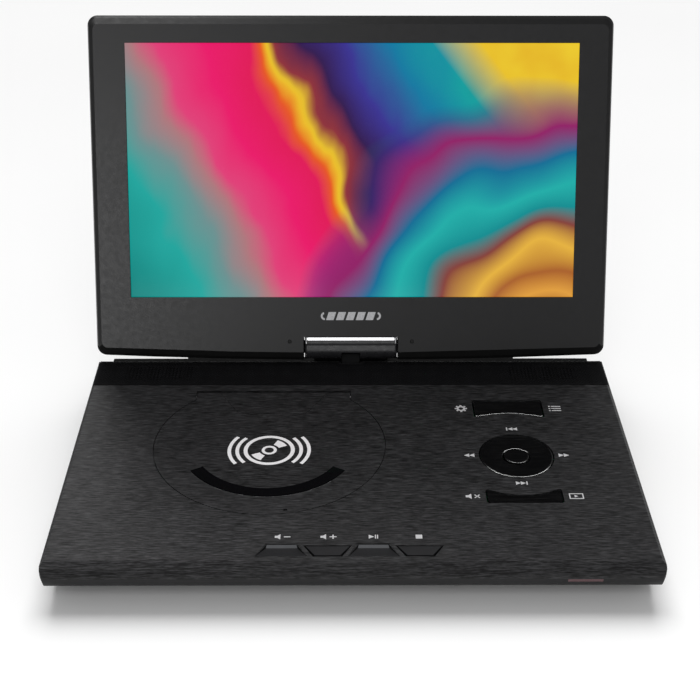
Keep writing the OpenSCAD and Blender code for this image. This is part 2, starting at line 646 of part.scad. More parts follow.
// bright frame round the block
module hinge_frame() color([0.85, 0.85, 0.87]) on_lid() difference() {
    intersection() {
        union() {
            box(-30.9, 30.9, 6.6, 8.4, -7, 7);
            mirrored() translate([30.3, 0, 0]) {
                pin_x(6.9, 1.2);
                along_x(1.2) translate([0, -6.9]) square([8.4, 13.8]);
            }
        }
        translate([0, 9, 0]) rotate([90, 0, 0]) linear_extrude(20) frame_plan();
    }
    translate([0, 5, SWIVEL_W]) rotate([-90, 0, 0]) cylinder(r = 4.05, h = 6, $fn = ROUND);
}

module frame_plan() {
    r = 2;
    square([61.8 - 2 * r, 14], center = true);
    square([61.8, 14 - 2 * r], center = true);
    for (x = [-1, 1], y = [-1, 1]) translate([x * (30.9 - r), y * (7 - r)]) circle(r);
}

module tilt_shaft() color([0.70, 0.70, 0.72]) on_lid() pin_x(2.5, 51.6);

module tilt_washers() color([0.75, 0.72, 0.60]) on_lid() mirrored() translate([6.8, 0, 0]) difference() {
    pin_x(4.2, 1);
    pin_x(2.52, 3);
}

// draws about the swivel axis, up the lid from height v
module on_swivel(v) on_lid() translate([0, v, SWIVEL_W]) rotate([-90, 0, 0]) children();

module swivel_post() color([0.72, 0.72, 0.74]) on_swivel(POST_LOW) difference() {
    cylinder(r = 4, h = 16.75, $fn = ROUND);
    translate([0, 0, -1]) cylinder(r = 2.3, h = 22, $fn = ROUND);
}

module swivel_nut() color([0.60, 0.60, 0.62]) on_swivel(16.4) difference() {
    cylinder(r = 5.2, h = 2.6, $fn = ROUND);
    translate([0, 0, -1]) cylinder(r = 4.02, h = 5, $fn = ROUND);
}

// steel plate that turns on the post and holds the lid
module swivel_plate() color([0.66, 0.67, 0.69]) on_swivel(0) difference() {
    union() {
        translate([0, 0, 10.6]) cylinder(r = 5.2, h = 4, $fn = ROUND);
        box(-30, 30, -4.8, 5, 14.4, 16);
        for (side = [-1, 1]) box(side * 24 - 6, side * 24 + 6, -4.8, -3.2, 14.4, 27);
    }
    translate([0, 0, 9]) cylinder(r = 4.06, h = 10, $fn = ROUND);
}

// ---- lid ----

BOW_R = 3800;                       // the lid's lower edge bows down along this radius
NOTCH_HALF = 31.65;
NOTCH_TOP = 8.8;
SPLIT = -1;                         // the bezel and the back cover meet at this depth
PICTURE_X = 0.85;
PICTURE_LOW = 35.6;

// outline of the lid, drawn in at the sides, top and bottom
module lid_outline(side, top, bottom, r) {
    half = lid_w / 2 - side;
    low = LID_LOW + bottom;
    offset(r = r, $fn = 32) intersection() {
        translate([-half + r, low + r]) square([2 * (half - r), lid_top - top - low - 2 * r]);
        translate([0, low + BOW_R]) circle(BOW_R - r, $fn = 900);
    }
}

module notch(grow) translate([-NOTCH_HALF - grow, -20, -12]) cube([2 * (NOTCH_HALF + grow), NOTCH_TOP + grow + 20, 24]);

// the notch in the back cover, which leaves a narrow lip at each side of the hinge block
module back_notch() difference() {
    notch(0);
    mirrored() box(NOTCH_HALF - 0.7, NOTCH_HALF + 1, -21, 4.4, -13, -7.05);
}

module post_hole() translate([0, 5, SWIVEL_W]) rotate([-90, 0, 0]) cylinder(r = 5.5, h = 10, $fn = ROUND);

// a thin slice of the lid's outline at depth w
module lid_slice(w, side, top, bottom, r) translate([0, 0, w]) linear_extrude(0.05) lid_outline(side, top, bottom, r);

module bezel_form() hull() {
    lid_slice(FACE_OUT - 0.05, 3.5, 5.6, 5.5, 4);
    lid_slice(FACE_OUT - 1.3, 1, 1.9, 1.9, 6);
    lid_slice(FACE_OUT - 3, 0, 0, 0, 6.5);
    lid_slice(SPLIT, 0, 0, 0, 6.5);
}

module back_form() hull() {
    lid_slice(-BACK_OUT, 5, 5, 5, 5);
    lid_slice(-BACK_OUT + 1.4, 1.5, 1.5, 1.5, 6);
    lid_slice(-BACK_OUT + BACK_CHAMFER, 0, 0, 0, 6.5);
    lid_slice(SPLIT - 0.05, 0, 0, 0, 6.5);
}

module lid_bezel() color([0.19, 0.19, 0.20]) on_lid() difference() {
    union() {
        difference() {
            bezel_form();
            translate([0, 0, SPLIT - 1]) linear_extrude(FACE_OUT - 1.4 - SPLIT + 1) lid_outline(4.4, 6.4, 6.2, 3);
        }
        intersection() {
            notch(1.6);
            bezel_form();
        }
        for (p = LID_SCREWS) translate([p.x, p.y, SPLIT]) cylinder(r = 2.8, h = FACE_OUT - 1 - SPLIT);
    }
    notch(0);
    post_hole();
    translate([PICTURE_X - picture_w / 2, PICTURE_LOW, 0]) cube([picture_w, picture_h, 20]);
    for (side = [-1, 1]) translate([side * 41, 5.7, FACE_OUT - 0.8]) cylinder(r = 1.22, h = 2, $fn = 32);
    for (p = LID_SCREWS) translate([p.x, p.y, SPLIT - 1]) cylinder(r = 1.27, h = 6.4);
}

module lid_back() color([0.09, 0.09, 0.10]) on_lid() difference() {
    union() {
        difference() {
            back_form();
            translate([0, 0, 1.6 - BACK_OUT]) linear_extrude(BACK_OUT) lid_outline(4.4, 6.4, 6.2, 3);
        }
        intersection() {
            notch(1.6);
            back_form();
        }
        for (p = LID_SCREWS) translate([p.x, p.y, -BACK_OUT]) cylinder(r = 3.4, h = BACK_OUT + SPLIT);
    }
    back_notch();
    post_hole();
    for (p = LID_SCREWS) translate([p.x, p.y, -BACK_OUT - 1]) {
        cylinder(r = 2.8, h = 3.2);
        cylinder(r = 1.6, h = 12);
    }
}

module lcd_panel() color([0.04, 0.10, 0.14]) on_lid()
    translate([PICTURE_X - picture_w / 2 - 3, PICTURE_LOW - 3, 2.95]) cube([picture_w + 6, picture_h + 6, 2.6]);

module backlight_frame() color([0.70, 0.71, 0.72]) on_lid()
    translate([PICTURE_X - picture_w / 2 - 5, PICTURE_LOW - 5, -1.6]) cube([picture_w + 10, picture_h + 10, 4.5]);

module lid_board() color([0.06, 0.32, 0.18]) on_lid() {
    translate([-60, 60, -4.4]) cube([120, 70, 1.2]);
    translate([-40, 80, -5.6]) cube([22, 22, 1.3]);
    translate([6, 76, -5.6]) cube([34, 12, 1.3]);
}

module lid_bumpers() color([0.05, 0.05, 0.05]) on_lid() for (side = [-1, 1])
    translate([side * 41, 5.7, FACE_OUT - 0.8]) cylinder(r1 = 1.2, r2 = 0.9, h = 1.4, $fn = 32);

module lid_screws() color([0.3, 0.3, 0.32]) on_lid() for (p = LID_SCREWS)
    translate([p.x, p.y, -BACK_OUT + 0.6]) screw(2.5, 1.6, 1.25, 10);

// ---- drawing ----

bottom_case();
deck_cover();
speaker_grille();
rubber_feet();
case_screws();
infrared_window();
battery_pack();
main_board();
board_chips();
side_key_board();
front_key_board();
tact_switches();
disc_tray();
drive_chassis();
spindle_motor();
turntable();
laser_sled();
pickup_lens();
guide_rods();
lead_screw();
sled_motor();
speaker_left();
speaker_right();
headphone_jack();
av_jack();
usb_port();
card_slot();
dc_inlet();
power_switch_body();
power_switch_knob();
disc_door();
door_window();
door_pins();
door_hook();
door_catch();
direction_pivot();
direction_pad();
ok_button();
setup_menu_rocker();
mute_mode_rocker();
key_volume_down();
key_volume_up();
key_play();
key_stop();
hinge_neck();
neck_screws();
hinge_block();
hinge_frame();
tilt_shaft();
tilt_washers();
swivel_post();
swivel_nut();
swivel_plate();
lid_bezel();
lid_back();
lcd_panel();
backlight_frame();
lid_board();
lid_bumpers();
lid_screws();
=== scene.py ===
"""Looks of the portable disc player: finishes, printed signs, speaker mesh, lit picture, light and camera.

Lengths are in metres in the part's own frame. MM turns millimetres into metres.
"""

import json
import math

import bmesh
import bpy
from mathutils import Matrix, Vector


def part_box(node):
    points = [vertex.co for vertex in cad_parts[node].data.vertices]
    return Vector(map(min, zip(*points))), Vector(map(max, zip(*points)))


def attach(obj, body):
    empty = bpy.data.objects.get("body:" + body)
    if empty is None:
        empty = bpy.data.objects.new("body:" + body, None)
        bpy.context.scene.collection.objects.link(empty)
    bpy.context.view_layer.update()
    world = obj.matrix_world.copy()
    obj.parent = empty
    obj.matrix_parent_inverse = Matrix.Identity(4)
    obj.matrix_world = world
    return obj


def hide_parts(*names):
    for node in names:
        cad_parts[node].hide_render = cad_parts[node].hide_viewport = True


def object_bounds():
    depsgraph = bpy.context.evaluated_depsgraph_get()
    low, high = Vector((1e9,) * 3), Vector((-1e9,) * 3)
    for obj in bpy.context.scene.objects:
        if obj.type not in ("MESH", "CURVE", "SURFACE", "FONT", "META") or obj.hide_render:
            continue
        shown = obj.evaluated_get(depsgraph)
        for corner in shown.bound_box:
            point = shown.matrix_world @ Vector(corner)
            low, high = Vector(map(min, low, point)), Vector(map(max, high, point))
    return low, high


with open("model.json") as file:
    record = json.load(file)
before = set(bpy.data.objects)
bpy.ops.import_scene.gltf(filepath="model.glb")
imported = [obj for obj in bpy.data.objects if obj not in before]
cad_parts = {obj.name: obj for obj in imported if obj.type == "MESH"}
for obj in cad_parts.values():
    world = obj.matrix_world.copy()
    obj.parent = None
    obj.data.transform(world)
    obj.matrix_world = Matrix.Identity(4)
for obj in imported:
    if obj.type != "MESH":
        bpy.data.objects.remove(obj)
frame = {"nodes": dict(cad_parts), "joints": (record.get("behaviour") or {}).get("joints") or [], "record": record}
cad_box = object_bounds()

MM = 0.001

# ---- places taken from the frame ----

joints = {j["name"]: j for j in frame["joints"]}
record_materials = {m["slot"]: m for m in frame["record"]["materials"]}
slot_of = {s["node"]: s["material_slot"] for s in frame["record"]["subparts"]}
body_of = {n: b for b, nodes in frame["record"]["behaviour"]["bodies"].items() for n in nodes}


def middle(node):
    low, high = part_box(node)
    return (low + high) / 2


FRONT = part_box("bottom_case")[0].y
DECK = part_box("deck_cover")[1].z
HALF_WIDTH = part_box("bottom_case")[1].x
PAD = middle("direction_pad")
DOOR_LOW, DOOR_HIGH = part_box("disc_door")
DOOR_R = (DOOR_HIGH.x - DOOR_LOW.x) / 2
DOOR = Vector(((DOOR_LOW.x + DOOR_HIGH.x) / 2, DOOR_LOW.y + DOOR_R, DECK))

HINGE = Vector(joints["lid_tilt"]["pos_m"])
UP = Vector(joints["lid_swivel"]["axis"]).normalized()
OUT = Vector((1, 0, 0)).cross(UP)


def lid_matrix(x=0.0, v=0.0, w=0.0):
    """The lid's own frame: X right, Y up the lid, Z out of the screen, moved to x, v and w."""
    origin = HINGE + Vector((x, 0, 0)) + v * UP + w * OUT
    columns = [Vector((1, 0, 0)), UP, OUT]
    return Matrix([[c[i] for c in columns] + [origin[i]] for i in range(3)] + [[0, 0, 0, 1]])


def lid_box(node):
    """Lowest and highest corner of a node in the lid's own frame."""
    inverse = lid_matrix().inverted()
    points = [inverse @ v.co for v in frame["nodes"][node].data.vertices]
    low = Vector([min(p[i] for p in points) for i in range(3)])
    high = Vector([max(p[i] for p in points) for i in range(3)])
    return low, high


# ---- materials ----


class Shader:
    """A material and short calls that add its nodes. Sizes of grain are in metres."""

    def __init__(self, name, **sockets):
        self.material = bpy.data.materials.new(name)
        self.material.use_nodes = True
        self.tree = self.material.node_tree
        self.surface = self.tree.nodes["Principled BSDF"]
        for key, value in sockets.items():
            self.surface.inputs[key.replace("_", " ")].default_value = value
        self.where = self.node("TexCoord").outputs["Object"]
        self.normal = None

    def node(self, kind, inputs=None, **settings):
        made = self.tree.nodes.new("ShaderNode" + kind)
        for key, value in settings.items():
            setattr(made, key, value)
        for key, value in (inputs or {}).items():
            if isinstance(value, bpy.types.NodeSocket):
                self.tree.links.new(value, made.inputs[key])
            else:
                made.inputs[key].default_value = value
        return made

    def link(self, value, socket):
        self.tree.links.new(value, self.surface.inputs[socket])

    def place(self, scale=(1, 1, 1), turn=(0, 0, 0)):
        inputs = {"Vector": self.where, "Scale": scale, "Rotation": turn}
        return self.node("Mapping", inputs).outputs["Vector"]

    def noise(self, size, stretch=(1, 1, 1), detail=3.0):
        vector = self.place([1 / (size * s) for s in stretch])
        inputs = {"Vector": vector, "Scale": 1.0, "Detail": detail}
        return self.node("TexNoise", inputs).outputs["Fac"]

    def tone(self, value, low, high, start=0.3, end=0.7):
        inputs = {"Value": value, "From Min": start, "From Max": end, "To Min": low, "To Max": high}
        return self.node("MapRange", inputs).outputs["Result"]

    def math(self, operation, a, b=0.0, c=0.0):
        made = self.node("Math", operation=operation)
        for socket, value in zip(made.inputs, (a, b, c)):
            if isinstance(value, bpy.types.NodeSocket):
                self.tree.links.new(value, socket)
            else:
                socket.default_value = value
        return made.outputs[0]

    def ramp(self, value, stops):
        made = self.node("ValToRGB", {"Fac": value})
        elements = made.color_ramp.elements
        while len(elements) < len(stops):
            elements.new(0.5)
        for element, (place, colour) in zip(elements, stops):
            element.position = place
            element.color = (*colour, 1)
        return made.outputs["Color"]

    def blend(self, share, first, second):
        made = self.node("Mix", data_type="RGBA")
        for index, value in ((0, share), (6, first), (7, second)):
            if isinstance(value, bpy.types.NodeSocket):
                self.tree.links.new(value, made.inputs[index])
            else:
                made.inputs[index].default_value = value
        return made.outputs[2]

    def bump(self, height, depth, strength=1.0):
        inputs = {"Height": height, "Distance": depth, "Strength": strength}
        if self.normal is not None:
            inputs["Normal"] = self.normal
        self.normal = self.node("Bump", inputs).outputs["Normal"]
        self.link(self.normal, "Normal")


def colour_of(slot, gain=1.0):
    return tuple(min(1.0, c * gain) for c in record_materials[slot]["base_color"][:3])


def shaded(slot, gain):
    return (*colour_of(slot, gain), 1)


def plastic(slot, rough, grain=0.35 * MM, depth=0.012 * MM, cloud=0.15, gain=1.0, **sockets):
    """Moulded plastic: a spark texture, faint clouding and uneven gloss."""
    made = Shader(slot, **sockets)
    cloudy = made.tone(made.noise(14 * MM, detail=4), 0, 1)
    dim, bright = shaded(slot, gain * (1 - cloud)), shaded(slot, gain * (1 + cloud))
    made.link(made.blend(cloudy, dim, bright), "Base Color")
    made.link(made.tone(made.noise(3 * MM), rough - 0.05, rough + 0.05), "Roughness")
    made.bump(made.noise(grain, detail=2), depth)
    return made.material


def gloss(slot, rough=0.06, wave=30 * MM, gain=1.0, **sockets):
    """Polished plastic: a faint orange peel, dust and fine wiping marks in its gloss."""
    made = Shader(slot, **sockets)
    dust = made.tone(made.noise(0.5 * MM, detail=1), 0, 1, 0.68, 0.78)
    made.link(made.blend(dust, shaded(slot, gain), shaded(slot, 2.2 * gain)), "Base Color")
    wiped = made.noise(1.2 * MM, stretch=(14, 1, 1))
    made.link(made.tone(wiped, rough * 0.6, rough * 1.8), "Roughness")
    made.bump(made.noise(wave, detail=1), 0.02 * MM, 0.5)
    return made.material


def metal(slot, rough, stretch=(40, 1, 1), depth=0.004 * MM, size=0.16 * MM, **sockets):
    """Drawn, ground or plated metal: a grain along one axis and slight staining."""
    made = Shader(slot, Metallic=1.0, **sockets)
    stain = made.tone(made.noise(9 * MM, detail=5), 0, 1)
    made.link(made.blend(stain, shaded(slot, 0.86), shaded(slot, 1.05)), "Base Color")
    grain = made.noise(size, stretch=stretch, detail=3)
    made.link(made.tone(grain, rough * 0.75, rough * 1.35), "Roughness")
    made.bump(grain, depth)
    return made.material


def brushed_deck(slot):
    """Lacquered brushed finish: short low streaks across the player, with finer scratches between."""
    made = Shader(slot, Specular_IOR_Level=0.26)
    long_streak = made.noise(0.6 * MM, stretch=(16, 1, 1), detail=3)
    short_streak = made.noise(0.4 * MM, stretch=(9, 1, 1), detail=2)
    patch = made.noise(22 * MM, stretch=(2, 1, 1), detail=3)
    streaks = made.math("ADD", made.math("MULTIPLY", long_streak, 0.6),
                        made.math("MULTIPLY", short_streak, 0.4))
    level = made.math("ADD", streaks, made.math("MULTIPLY", made.math("SUBTRACT", patch, 0.5), 0.08))
    made.link(made.ramp(level, [(0.36, colour_of(slot, 0.05)), (0.45, colour_of(slot, 0.4)),
                                (0.53, colour_of(slot, 1.0)), (0.62, colour_of(slot, 2.0))]), "Base Color")
    made.link(made.tone(streaks, 0.57, 0.43), "Roughness")
    made.bump(streaks, 0.05 * MM, 0.7)
    return made.material


def circuit_board(slot):
    """Solder mask over fine copper tracks, with bright pads."""
    made = Shader(slot, Roughness=0.35)
    tracks = made.node("TexBrick", {"Vector": made.place([1 / (9 * MM)] * 3), "Scale": 1.0,
                                    "Mortar Size": 0.03, "Brick Width": 0.7, "Row Height": 0.12})
    pads = made.node("TexVoronoi", {"Vector": made.place([1 / (3.2 * MM)] * 3), "Scale": 1.0})
    pad = made.tone(pads.outputs["Distance"], 1, 0, 0.10, 0.13)
    masked = made.blend(tracks.outputs["Fac"], shaded(slot, 1), shaded(slot, 1.9))
    made.link(made.blend(pad, masked, (0.75, 0.62, 0.30, 1)), "Base Color")
    made.link(pad, "Metallic")
    made.bump(tracks.outputs["Fac"], 0.03 * MM)
    return made.material


def speaker_cloth(slot):
    """Dark woven lining behind the speaker mesh."""
    made = Shader(slot, Roughness=0.9, Specular_IOR_Level=0.2)
    threads = {"Vector": made.where, "Scale": 1 / (3.2 * MM), "Distortion": 0.4}
    across = made.node("TexWave", threads, bands_direction="X")
    along = made.node("TexWave", threads, bands_direction="Y")
    weave = made.math("MULTIPLY", across.outputs["Fac"], along.outputs["Fac"])
    made.link(made.blend(weave, shaded(slot, 0.5), shaded(slot, 1.2)), "Base Color")
    made.bump(weave, 0.08 * MM)
    return made.material


def printed(name, colour, rough=0.5):
    """Screen-printed ink: a thin uneven layer."""
    made = Shader(name)
    thin = made.tone(made.noise(0.8 * MM, detail=2), 0, 1)
    made.link(made.blend(thin, (*[c * 0.82 for c in colour], 1), (*colour, 1)), "Base Color")
    made.link(made.tone(thin, rough - 0.08, rough + 0.08, 0, 1), "Roughness")
    made.bump(thin, 0.01 * MM)
    return made.material


def lit_picture(slot, width, height):
    """A made-up picture of coloured light: diagonal bands that bend into arcs on the right."""
    made = Shader(slot, Roughness=0.12, Specular_IOR_Level=0.25)
    axes = made.node("SeparateXYZ", {"Vector": made.where}).outputs
    drift = made.math("SUBTRACT", made.noise(70 * MM, detail=1), 0.5)
    ripple = made.math("SUBTRACT", made.noise(22 * MM, stretch=(1, 2, 1), detail=2), 0.5)
    # distance across the bands, which run down to the right, 28 degrees from upright
    slant = math.radians(28)
    across = made.math("ADD", made.math("MULTIPLY", axes["X"], math.cos(slant)),
                       made.math("MULTIPLY", axes["Y"], math.sin(slant)))
    across = made.math("ADD", across, made.math("MULTIPLY", drift, 0.045))
    across = made.math("ADD", across, made.math("MULTIPLY", ripple, 0.012))
    span = width * math.cos(slant) + height * math.sin(slant)
    share = made.math("ADD", made.math("DIVIDE", across, span), 0.5)
    bands = made.ramp(share, [
        (0.02, (0.00, 0.24, 0.22)), (0.13, (0.01, 0.40, 0.36)), (0.19, (0.16, 0.30, 0.30)),
        (0.25, (0.45, 0.20, 0.22)), (0.29, (0.80, 0.05, 0.20)), (0.36, (0.88, 0.004, 0.15)),
        (0.43, (0.80, 0.004, 0.10)), (0.455, (0.85, 0.10, 0.01)), (0.475, (0.90, 0.60, 0.02)),
        (0.49, (0.30, 0.03, 0.04)), (0.53, (0.03, 0.005, 0.08)), (0.60, (0.04, 0.03, 0.30)),
        (0.68, (0.00, 0.20, 0.38)), (0.78, (0.00, 0.36, 0.36)), (0.90, (0.02, 0.20, 0.12))])
    # arcs round a point past the lower right corner
    focus = (width * 0.42, -height * 0.62, 0)
    centre = made.node("VectorMath", {0: made.where, 1: focus}, operation="SUBTRACT")
    radius = made.node("VectorMath", {0: centre.outputs[0]}, operation="LENGTH").outputs["Value"]
    swirl = made.math("ADD", radius, made.math("MULTIPLY", drift, 0.05))
    arc_share = made.math("DIVIDE", swirl, height * 0.98)
    arcs = made.ramp(arc_share, [
        (0.00, (0.02, 0.10, 0.12)), (0.10, (0.35, 0.10, 0.01)), (0.18, (0.80, 0.36, 0.04)),
        (0.26, (0.42, 0.12, 0.02)), (0.34, (0.85, 0.48, 0.05)), (0.42, (0.25, 0.05, 0.04)),
        (0.50, (0.00, 0.28, 0.30)), (0.60, (0.01, 0.45, 0.42)), (0.70, (0.00, 0.16, 0.32)),
        (0.80, (0.30, 0.01, 0.14)), (0.90, (0.05, 0.02, 0.20)), (1.00, (0.00, 0.12, 0.26))])
    near = made.tone(arc_share, 1, 0, 0.80, 0.98)
    sky = made.tone(made.math("ADD", axes["X"], made.math("MULTIPLY", axes["Y"], 0.8)), 0, 1, 0.118, 0.150)
    pale = made.blend(made.noise(30 * MM, detail=2), (0.80, 0.42, 0.01, 1), (0.95, 0.72, 0.03, 1))
    shown = made.blend(near, made.blend(sky, bands, pale), arcs)
    made.link(shown, "Emission Color")
    # only the front of the panel is lit
    facing = made.node("SeparateXYZ", {"Vector": made.node("TexCoord").outputs["Normal"]}).outputs["Z"]
    made.link(made.math("MULTIPLY", made.math("GREATER_THAN", facing, 0.5), 0.92), "Emission Strength")
    # the glass in front of it is near black
    glass = made.blend(made.noise(2 * MM), (0.004, 0.004, 0.004, 1), (0.008, 0.008, 0.008, 1))
    made.link(glass, "Base Color")
    return made.material


def backlight_film(slot):
    made = Shader(slot, Roughness=0.4)
    dots = made.node("TexVoronoi", {"Vector": made.place([1 / (1.6 * MM)] * 3), "Scale": 1.0})
    spot = made.tone(dots.outputs["Distance"], 1, 0, 0.2, 0.3)
    made.link(made.blend(spot, shaded(slot, 0.9), shaded(slot, 1.1)), "Base Color")
    made.bump(spot, 0.02 * MM)
    return made.material


def smoked_window(slot):
    made = Shader(slot, Roughness=0.06, Specular_IOR_Level=0.35)
    dust = made.tone(made.noise(0.6 * MM, detail=1), 0, 1, 0.70, 0.80)
    made.link(made.blend(dust, (0.002, 0.002, 0.0025, 1), (0.012, 0.012, 0.013, 1)), "Base Color")
    made.bump(made.noise(25 * MM, detail=1), 0.02 * MM, 0.4)
    return made.material


def lens(slot):
    made = Shader(slot, Roughness=0.04, Coat_Weight=1.0, Coat_Roughness=0.02)
    facing = made.node("LayerWeight", {"Blend": 0.35}).outputs["Facing"]
    tints = [(0.0, (0.03, 0.06, 0.30)), (0.5, (0.16, 0.05, 0.38)), (1.0, (0.5, 0.3, 0.6))]
    made.link(made.ramp(facing, tints), "Base Color")
    made.bump(made.noise(1 * MM, detail=1), 0.002 * MM)
    return made.material


materials = {
    "case_plastic": plastic("case_plastic", 0.5, gain=0.28, Specular_IOR_Level=0.3),
    "deck_brushed": brushed_deck("deck_brushed"),
    "grille_plastic": speaker_cloth("grille_plastic"),
    "rubber": plastic("rubber", 0.8, grain=0.2 * MM, depth=0.02 * MM, Specular_IOR_Level=0.3),
    "screw_steel": metal("screw_steel", 0.35, stretch=(1, 1, 1)),
    "infrared_plastic": gloss("infrared_plastic", 0.10, gain=0.5),
    "battery_wrap": gloss("battery_wrap", 0.22, wave=5 * MM),
    "circuit_board": circuit_board("circuit_board"),
    "component_black": plastic("component_black", 0.5, grain=0.15 * MM),
    "switch_plastic": plastic("switch_plastic", 0.45, grain=0.15 * MM, depth=0.004 * MM),
    "tray_plastic": plastic("tray_plastic", 0.42, grain=0.25 * MM, depth=0.006 * MM),
    "sheet_steel": metal("sheet_steel", 0.34),
    "motor_steel": metal("motor_steel", 0.28, stretch=(1, 1, 30)),
    "turntable_plastic": plastic("turntable_plastic", 0.4, grain=0.2 * MM, depth=0.005 * MM),
    "sled_plastic": plastic("sled_plastic", 0.5, grain=0.2 * MM),
    "lens_glass": lens("lens_glass"),
    "rod_steel": metal("rod_steel", 0.16, stretch=(1, 30, 30), depth=0.001 * MM),
    "brass": metal("brass", 0.25, stretch=(1, 30, 30), depth=0.002 * MM),
    "speaker_black": plastic("speaker_black", 0.7, grain=0.6 * MM, depth=0.05 * MM),
    "jack_black": plastic("jack_black", 0.4),
    "jack_yellow": plastic("jack_yellow", 0.4),
    "port_nickel": metal("port_nickel", 0.24),
    "knob_grey": plastic("knob_grey", 0.45),
    "smoke_window": smoked_window("smoke_window"),
    "catch_plastic": plastic("catch_plastic", 0.4, grain=0.2 * MM, depth=0.005 * MM, Subsurface_Weight=0.1),
    "gloss_black": gloss("gloss_black", 0.14, gain=0.7, Specular_IOR_Level=0.3),
    "key_plastic": plastic("key_plastic", 0.42, grain=0.2 * MM, depth=0.006 * MM, gain=0.35,
                           Specular_IOR_Level=0.3),
    "cast_zinc": plastic("cast_zinc", 0.45, grain=0.5 * MM, depth=0.03 * MM, gain=0.15,
                         Specular_IOR_Level=0.2),
    "hinge_plastic": plastic("hinge_plastic", 0.30, grain=0.3 * MM, depth=0.001 * MM),
    "chrome": metal("chrome", 0.10, depth=0.001 * MM),
    "spring_steel": metal("spring_steel", 0.3, stretch=(1, 1, 1)),
    "bezel_plastic": plastic("bezel_plastic", 0.40, grain=0.3 * MM, depth=0.002 * MM, cloud=0.04,
                             gain=0.7, Specular_IOR_Level=0.34),
    "lid_back_plastic": plastic("lid_back_plastic", 0.45, grain=0.4 * MM, depth=0.015 * MM, gain=0.55),
    "backlight": backlight_film("backlight"),
}
ink = printed("ink_grey", (0.52, 0.52, 0.53))
bright_ink = printed("ink_light", (0.80, 0.80, 0.81))
badge_metal = printed("badge_silver", (0.72, 0.72, 0.74), rough=0.3)

# ---- meshes ----

# angle in degrees from which the edge between two faces is sharp
SMOOTH_OVER = 35


def add_piece(name, mesh, body, material, matrix=None, smooth_over=SMOOTH_OVER):
    """Makes a piece of the player from a mesh in matrix's frame, and lets it ride on a body."""
    made = bpy.data.objects.new(name, mesh)
    bpy.context.scene.collection.objects.link(made)
    made.matrix_world = matrix or Matrix.Identity(4)
    mesh.materials.clear()
    mesh.materials.append(material)
    mesh.shade_smooth()
    mesh.set_sharp_from_angle(angle=math.radians(smooth_over))
    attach(made, body)
    return made


def mesh_from(bm, name):
    mesh = bpy.data.meshes.new(name)
    bm.to_mesh(mesh)
    bm.free()
    return mesh


def rounded(node, edge, sharp=30):
    """A copy of a CAD node's mesh with its edges rounded, which stands for the node."""
    bm = bmesh.new()
    bm.from_mesh(frame["nodes"][node].data)
    bmesh.ops.remove_doubles(bm, verts=bm.verts, dist=0.002 * MM)
    bmesh.ops.dissolve_limit(bm, angle_limit=math.radians(0.6), verts=bm.verts, edges=bm.edges)
    limit = math.radians(sharp)
    edges = [e for e in bm.edges if len(e.link_faces) == 2 and e.calc_face_angle(0) > limit]
    bmesh.ops.bevel(bm, geom=edges, offset=edge, offset_type="OFFSET", segments=2 if edge < 0.4 * MM else 4,
                    profile=0.5, affect="EDGES", clamp_overlap=True)
    slot = slot_of[node]
    name = node + ".rounded"
    made = add_piece(name, mesh_from(bm, name), body_of[node], materials[slot],
                     smooth_over=FLAT_OVER.get(node, SMOOTH_OVER))
    made.modifiers.new("weighted", "WEIGHTED_NORMAL").keep_sharp = True
    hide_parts(node)
    return made


# nodes whose shallow bevels stay flat, and the angle in degrees from which they do
FLAT_OVER = {"lid_bezel": 12}
# edge radius of each node, in millimetres
EDGES = {
    "bottom_case": 0.20, "deck_cover": 0.12, "speaker_grille": 0.1, "rubber_feet": 0.3, "case_screws": 0.08,
    "infrared_window": 0.1, "battery_pack": 0.8, "main_board": 0.1, "board_chips": 0.1, "side_key_board": 0.1,
    "front_key_board": 0.1, "tact_switches": 0.1, "disc_tray": 0.25, "drive_chassis": 0.15,
    "spindle_motor": 0.3, "turntable": 0.15, "laser_sled": 0.3, "pickup_lens": 0.1, "guide_rods": 0.3,
    "lead_screw": 0.05, "sled_motor": 0.3, "speaker_left": 0.2, "speaker_right": 0.2, "headphone_jack": 0.15,
    "av_jack": 0.15, "usb_port": 0.1, "card_slot": 0.1, "dc_inlet": 0.15, "power_switch_body": 0.15,
    "power_switch_knob": 0.1, "disc_door": 0.12, "door_window": 0.08, "door_pins": 0.1, "door_hook": 0.1,
    "door_catch": 0.15, "direction_pivot": 0.1, "direction_pad": 0.5, "ok_button": 0.45,
    "setup_menu_rocker": 0.8, "mute_mode_rocker": 0.8, "key_volume_down": 0.2, "key_volume_up": 0.2,
    "key_play": 0.2, "key_stop": 0.2, "hinge_neck": 0.3, "neck_screws": 0.08, "hinge_block": 0.25,
    "hinge_frame": 0.25, "tilt_shaft": 0.3, "tilt_washers": 0.08, "swivel_post": 0.2, "swivel_nut": 0.2,
    "swivel_plate": 0.2, "lid_bezel": 0.25, "lid_back": 0.3, "backlight_frame": 0.4, "lid_board": 0.1,
    "lid_bumpers": 0.1, "lid_screws": 0.08,
}
pieces = {node_name: rounded(node_name, edge_mm * MM) for node_name, edge_mm in EDGES.items()}


def second_finish(node, material, chosen, cuts=()):
    """Gives another material to the faces of a rounded node that pass a test, cut along planes first."""
    mesh = pieces[node].data
    if cuts:
        bm = bmesh.new()
        bm.from_mesh(mesh)
        for point, normal in cuts:
            bmesh.ops.bisect_plane(bm, geom=bm.verts[:] + bm.edges[:] + bm.faces[:], dist=0.001 * MM,
                                   plane_co=point, plane_no=normal)
        bm.to_mesh(mesh)
        bm.free()
    mesh.materials.append(material)
    for face in mesh.polygons:
        if chosen(face.center, face.normal):
            face.material_index = len(mesh.materials) - 1


# heights up the lid between which the hinge frame keeps its chrome: its bar with short legs, and two small ends.
# Outside them its faces get black plastic, a painted shade where the chrome shows dark
BRIGHT_BANDS = ((4.4 * MM, 20 * MM), (-5.0 * MM, -2.8 * MM))


def frame_in_painted_shade(centre, normal):
    v = (centre - HINGE).dot(UP)
    return not any(low < v < high for low, high in BRIGHT_BANDS)


